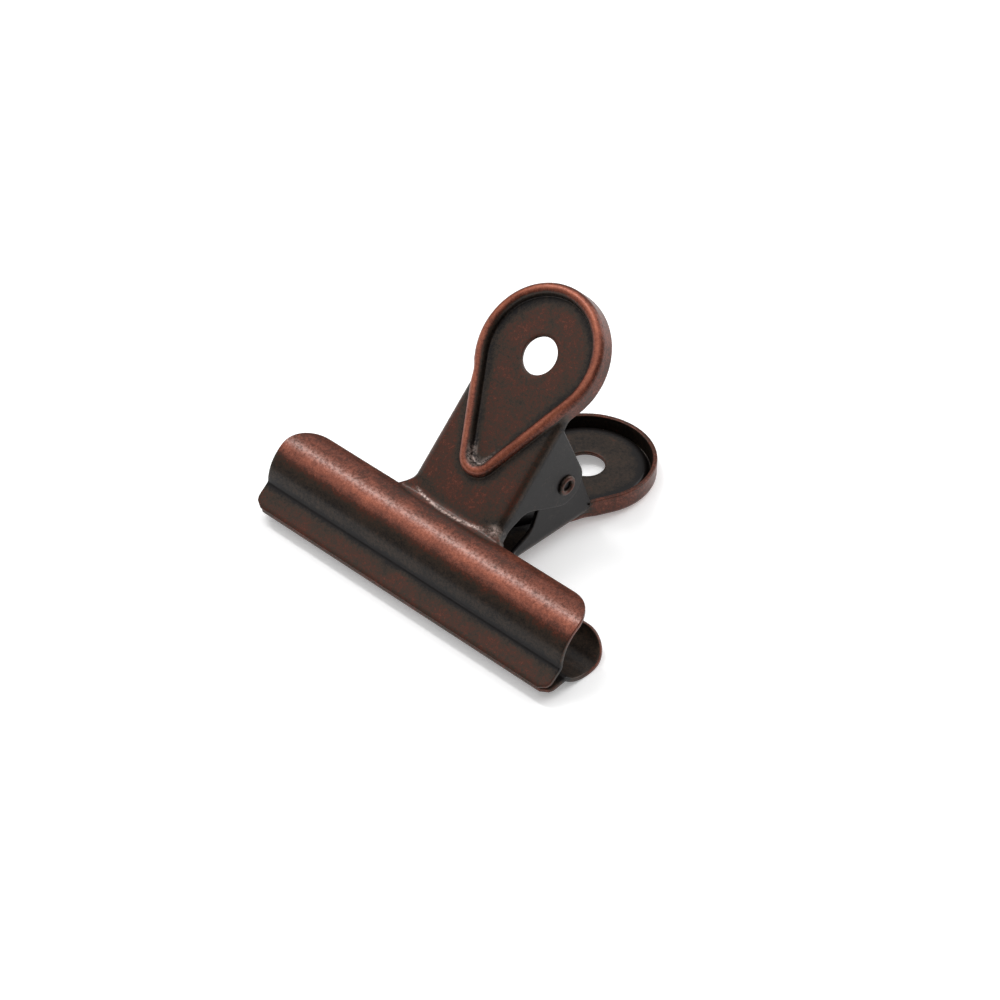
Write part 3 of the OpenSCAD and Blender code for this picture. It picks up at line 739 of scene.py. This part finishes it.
def antique_copper(scene, name):
    """Antique red copper: steel plated with copper, darkened to a brown-black patina, tumbled so that raised
    places are rubbed back to red metal, and lacquered.

    It gives the eye warm red satin metal on the beads, bends and roll, grey-brown with a fine red
    mottling on the flats, near black in the creases, and the lacquer's paler, cooler sheen over all. Painted
    shade darkens the bead's feet, the neck's right side, the lip towards its crease, the roll's front and the pin's
    bore, and a painted highlight of bare-metal colour lies along the roll's crown and at the neck's right flare.
    """
    f = scene.clip_finish
    mat = bpy.data.materials.new(name)
    mat.use_nodes = True
    tree = mat.node_tree
    tree.nodes.clear()
    place = node(tree, "ShaderNodeTexCoord").outputs["Object"]
    # clouds of patina about 3 mm across
    cloud = node(tree, "ShaderNodeTexNoise", {"Vector": place, "Scale": 330.0, "Detail": 3.0, "Roughness": 0.6})
    # spots of patina about 0.4 mm across
    spots = node(tree, "ShaderNodeTexNoise", {"Vector": place, "Scale": 2400.0, "Detail": 2.0, "Roughness": 0.6})
    # etched grain of the plating: really about 0.05 mm, drawn at 0.15 mm, or it would not show
    grain = node(tree, "ShaderNodeTexNoise", {"Vector": place, "Scale": 6500.0, "Detail": 1.0})
    wear_and_shade, grime_and_shade, scuff_and_highlight, edge, inside = (
        node(tree, "ShaderNodeAttribute", attribute_name=key).outputs["Fac"]
        for key in ("wear_and_shade", "grime_and_shade", "scuff_and_highlight", "edge", "inside"))

    # how far the surface is rubbed, lowered by the painted shade in the wear and grime attributes, from 0 in a
    # hollow to 1 on a crest: tumbling hardly reaches the inside
    rubbed_and_shaded = node(tree, "ShaderNodeMix", {"Factor": inside, 2: wear_and_shade, 3: 0.2}).outputs[0]
    for noise, by in ((grain, 0.36), (spots, 0.44), (cloud, 0.44)):
        swing = node(tree, "ShaderNodeMath", {0: noise.outputs["Fac"], 1: 0.5}, operation="SUBTRACT").outputs[0]
        rubbed_and_shaded = node(tree, "ShaderNodeMath", {0: swing, 1: by, 2: rubbed_and_shaded}, operation="MULTIPLY_ADD").outputs[0]
    # rubbed edges come up; grime and painted shade go down
    for amount, by in ((edge, 0.1), (grime_and_shade, -0.3)):
        rubbed_and_shaded = node(tree, "ShaderNodeMath", {0: amount, 1: by, 2: rubbed_and_shaded}, operation="MULTIPLY_ADD").outputs[0]
    ramp = node(tree, "ShaderNodeValToRGB", {"Fac": rubbed_and_shaded})
    stops = ramp.color_ramp.elements
    stops[0].position, stops[0].color = 0.02, f.grime_and_shade
    stops[1].position, stops[1].color = 1.0, f.rubbed
    for at, shade in ((0.28, f.patina), (0.45, f.ember), (0.66, f.copper)):
        stops.new(at).color = shade

    # scraped flecks of the press tool's mark and the tip's nick, with the painted highlight along the roll's crown
    # and at the neck's right flare, broken up by the spots
    broken = node(tree, "ShaderNodeMapRange", {"Value": spots.outputs["Fac"], "From Min": 0.4, "From Max": 0.56,
                                               "To Min": 0.08, "To Max": 0.75}).outputs[0]
    fleck_and_highlight = node(tree, "ShaderNodeMath", {0: broken, 1: scuff_and_highlight}, operation="MULTIPLY").outputs[0]
    colours = node(tree, "ShaderNodeMix", {"Factor": fleck_and_highlight, 6: ramp.outputs["Color"], 7: f.bare_and_highlight},
                   data_type="RGBA")
    rough = node(tree, "ShaderNodeMath", {0: rubbed_and_shaded, 1: -0.1, 2: 0.62}, operation="MULTIPLY_ADD")
    bump = node(tree, "ShaderNodeBump", {"Height": grain.outputs["Fac"], "Strength": 0.3, "Distance": 0.00001})
    shader = node(tree, "ShaderNodeBsdfPrincipled", {
        "Base Color": colours.outputs[2], "Roughness": rough.outputs[0], "Normal": bump.outputs[0],
        "Coat Normal": bump.outputs[0], "Metallic": 0.9, "Coat Weight": 0.36, "Coat Roughness": 0.24})
    node(tree, "ShaderNodeOutputMaterial", {"Surface": shader.outputs[0]})
    return mat


def spring_steel(scene):
    """Oiled spring steel wire, drawn and then wound: grey, a little streaky along the wire, and duller than
    the copper, so that it stays in the shade between the necks."""
    mat = bpy.data.materials.new("oiled_spring_steel")
    mat.use_nodes = True
    tree = mat.node_tree
    tree.nodes.clear()
    place = node(tree, "ShaderNodeTexCoord").outputs["Object"]
    # oil stains about 2 mm across
    stain = node(tree, "ShaderNodeTexNoise", {"Vector": place, "Scale": 500.0, "Detail": 3.0})
    # drawing marks: really about 0.02 mm, drawn at 0.2 mm, or they would not show
    marks = node(tree, "ShaderNodeTexNoise", {"Vector": place, "Scale": 5000.0, "Detail": 1.0})
    ramp = node(tree, "ShaderNodeValToRGB", {"Fac": stain.outputs["Fac"]})
    ramp.color_ramp.elements[0].position, ramp.color_ramp.elements[0].color = 0.3, scene.clip_finish.patina
    ramp.color_ramp.elements[1].position, ramp.color_ramp.elements[1].color = 0.7, scene.clip_finish.wire
    rough = node(tree, "ShaderNodeMapRange", {"Value": marks.outputs["Fac"], "To Min": 0.34, "To Max": 0.5})
    bump = node(tree, "ShaderNodeBump", {"Height": marks.outputs["Fac"], "Strength": 0.2, "Distance": 0.00001})
    shader = node(tree, "ShaderNodeBsdfPrincipled", {
        "Base Color": ramp.outputs["Color"], "Roughness": rough.outputs[0], "Normal": bump.outputs[0],
        "Metallic": 0.95})
    node(tree, "ShaderNodeOutputMaterial", {"Surface": shader.outputs[0]})
    return mat


class CLIP_OT_jaws(bpy.types.Operator):
    """Builds the front and rear jaws, each a bar with its roll and a neck with its handle"""

    bl_idname = "clip.jaws"
    bl_label = "Jaws"

    def execute(self, context):
        c = clip_sizes(context.scene)
        for body, w in (("front", c.neck_half), ("rear", c.neck_half - c.sheet - c.ear_gap)):
            mat = antique_copper(context.scene, f"antique_red_copper_{body}")
            grid, data, thin = jaw_face(c, w)
            for part, (points, faces, values) in (("bar", plate(*bar_face(c), c.sheet, c.edge_r)),
                                                  ("handle", ring_plate(grid, data, c.sheet, c.edge_r, thin))):
                obj = make_piece(f"{body}_{part}", set_down(c, points, body == "rear"), faces, values)
                obj.data.materials.append(mat)
                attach(obj, body)
                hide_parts(f"{body}_jaw")
        return {"FINISHED"}


class CLIP_OT_pin(bpy.types.Operator):
    """Builds the hollow pin with its two rolled rims"""

    bl_idname = "clip.pin"
    bl_label = "Pin"

    def execute(self, context):
        c = clip_sizes(context.scene)
        points, faces, values = pin_shell(c)
        obj = make_piece("hollow_pin", set_down(c, points), faces, values)
        obj.data.materials.append(antique_copper(context.scene, "antique_red_copper_pin"))
        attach(obj, "front")
        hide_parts("pivot_pin")
        return {"FINISHED"}


class CLIP_OT_spring(bpy.types.Operator):
    """Builds the torsion spring, whose legs follow the two jaws"""

    bl_idname = "clip.spring"
    bl_label = "Spring"

    def execute(self, context):
        c = clip_sizes(context.scene)
        points, faces, ends, half = spring_shell(c)
        obj = make_piece("coil_spring", set_down(c, points), faces, {}, ends)
        obj.data.materials.append(spring_steel(context.scene))
        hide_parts("torsion_spring")
        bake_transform(obj)
        return {"FINISHED"}


class CLIP_OT_stage(bpy.types.Operator):
    """Lays the pale floor, hangs the soft lights and sets the camera"""

    bl_idname = "clip.stage"
    bl_label = "Stage"

    def execute(self, context):
        scene = context.scene
        stage = scene.clip_stage
        mesh = bpy.data.meshes.new("floor")
        mesh.from_pydata([(-5, -5, 0), (5, -5, 0), (5, 5, 0), (-5, 5, 0)], [], [(0, 1, 2, 3)])
        floor = bpy.data.objects.new("floor", mesh)
        scene.collection.objects.link(floor)
        mat = bpy.data.materials.new("matt_paper_backdrop")
        mat.use_nodes = True
        tree = mat.node_tree
        tree.nodes.clear()
        paper = node(tree, "ShaderNodeBsdfDiffuse", {"Color": stage.floor})
        glow = node(tree, "ShaderNodeEmission", {"Color": stage.floor, "Strength": 0.3})
        both = node(tree, "ShaderNodeAddShader", {0: paper.outputs[0], 1: glow.outputs[0]})
        # the glow whitens the paper for the camera and in what metal and glass show, and lights nothing
        ray = node(tree, "ShaderNodeLightPath").outputs
        seen = node(tree, "ShaderNodeMath", {0: ray["Is Camera Ray"], 1: ray["Is Glossy Ray"]}, operation="MAXIMUM")
        seen = node(tree, "ShaderNodeMath", {0: seen.outputs[0], 1: ray["Is Transmission Ray"]},
                    operation="MAXIMUM")
        mix = node(tree, "ShaderNodeMixShader", {0: seen.outputs[0], 1: paper.outputs[0], 2: both.outputs[0]})
        node(tree, "ShaderNodeOutputMaterial", {"Surface": mix.outputs[0]})
        floor.data.materials.append(mat)

        world = bpy.data.worlds.new("studio")
        scene.world = world
        world.use_nodes = True
        tree = world.node_tree
        tree.nodes.clear()
        air = node(tree, "ShaderNodeBackground", {"Color": linear("#F4F4F4"), "Strength": 0.18})
        node(tree, "ShaderNodeOutputWorld", {"Surface": air.outputs[0]})

        # a wide panel lights the clip evenly from above, the tube inside it draws the streak on the roll, and the
        # other two pick out the beads
        for name, at, size, power in (("panel", (-0.1, 0.03, 0.5), (1.0, 1.1), 3.2),
                                      ("tube", (-0.32, -0.03, 0.49), (0.5, 0.06), 1.3),
                                      ("back", (0.16, 0.59, 0.3), (0.4, 0.5), 2.2),
                                      ("left", (-0.6, -0.3, 0.16), (0.25, 0.25), 0.35)):
            lamp = bpy.data.lights.new(name, "AREA")
            lamp.shape, lamp.size, lamp.size_y, lamp.energy = "RECTANGLE", *size, power * stage.key
            obj = bpy.data.objects.new(name, lamp)
            obj.location = at
            if name in ("back", "left"):
                obj.rotation_mode = "QUATERNION"
                obj.rotation_quaternion = Vector(at).to_track_quat("Z", "Y")
            scene.collection.objects.link(obj)

        # the photograph's viewpoint: where the lens stands, and its right, up and back directions
        cam = bpy.data.cameras.new("camera")
        cam.sensor_width, cam.lens = 36, 118.15
        cam.clip_start, cam.clip_end = 0.01, 10
        obj = bpy.data.objects.new("camera", cam)
        turn = Matrix(((0.72192599, -0.44209606, 0.53232879), (0.69173005, 0.48134404, -0.53834697),
                       (-0.01823222, 0.75687448, 0.6533059)))
        obj.matrix_world = Matrix.Translation((0.21569429, -0.22126665, 0.27057701)) @ turn.to_4x4()
        scene.collection.objects.link(obj)
        scene.camera = obj
        scene.view_settings.view_transform = "Standard"
        return {"FINISHED"}


class CLIP_PT_panel(bpy.types.Panel):
    """Lists the clip's sizes, colours and operators"""

    bl_idname = "CLIP_PT_panel"
    bl_label = "Bulldog Clip"
    bl_space_type = "VIEW_3D"
    bl_region_type = "UI"
    bl_category = "Bulldog Clip"

    def draw(self, context):
        for title, group, operator in PANEL_ROWS:
            box = self.layout.box()
            box.label(text=title)
            settings = getattr(context.scene, group)
            for name in settings.bl_rna.properties.keys():
                if name not in ("rna_type", "name"):
                    box.prop(settings, name)
            if operator:
                box.operator(operator)


PANEL_ROWS = (
    ("Bar", "clip_bar", None),
    ("Neck", "clip_neck", None),
    ("Handle", "clip_handle", "clip.jaws"),
    ("Pin", "clip_pin", "clip.pin"),
    ("Spring", "clip_spring", "clip.spring"),
    ("Finish", "clip_finish", None),
    ("Stage", "clip_stage", "clip.stage"),
)
GROUPS = {"clip_bar": ClipBar, "clip_neck": ClipNeck, "clip_handle": ClipHandle, "clip_pin": ClipPin,
          "clip_spring": ClipSpring, "clip_finish": ClipFinish, "clip_stage": ClipStage}
CLASSES = (CLIP_OT_jaws, CLIP_OT_pin, CLIP_OT_spring, CLIP_OT_stage, CLIP_PT_panel)


def register():
    """Registers the classes and hangs each group of settings on the scene."""
    for cls in (*GROUPS.values(), *CLASSES):
        bpy.utils.register_class(cls)
    for name, cls in GROUPS.items():
        setattr(bpy.types.Scene, name, PointerProperty(type=cls))


def unregister():
    """Takes away all that register added."""
    for name in GROUPS:
        delattr(bpy.types.Scene, name)
    for cls in reversed((*GROUPS.values(), *CLASSES)):
        bpy.utils.unregister_class(cls)


def main():
    """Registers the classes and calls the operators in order."""
    register()
    bpy.ops.clip.jaws()
    bpy.ops.clip.pin()
    bpy.ops.clip.spring()
    bpy.ops.clip.stage()


if __name__ == "__main__":
    main()
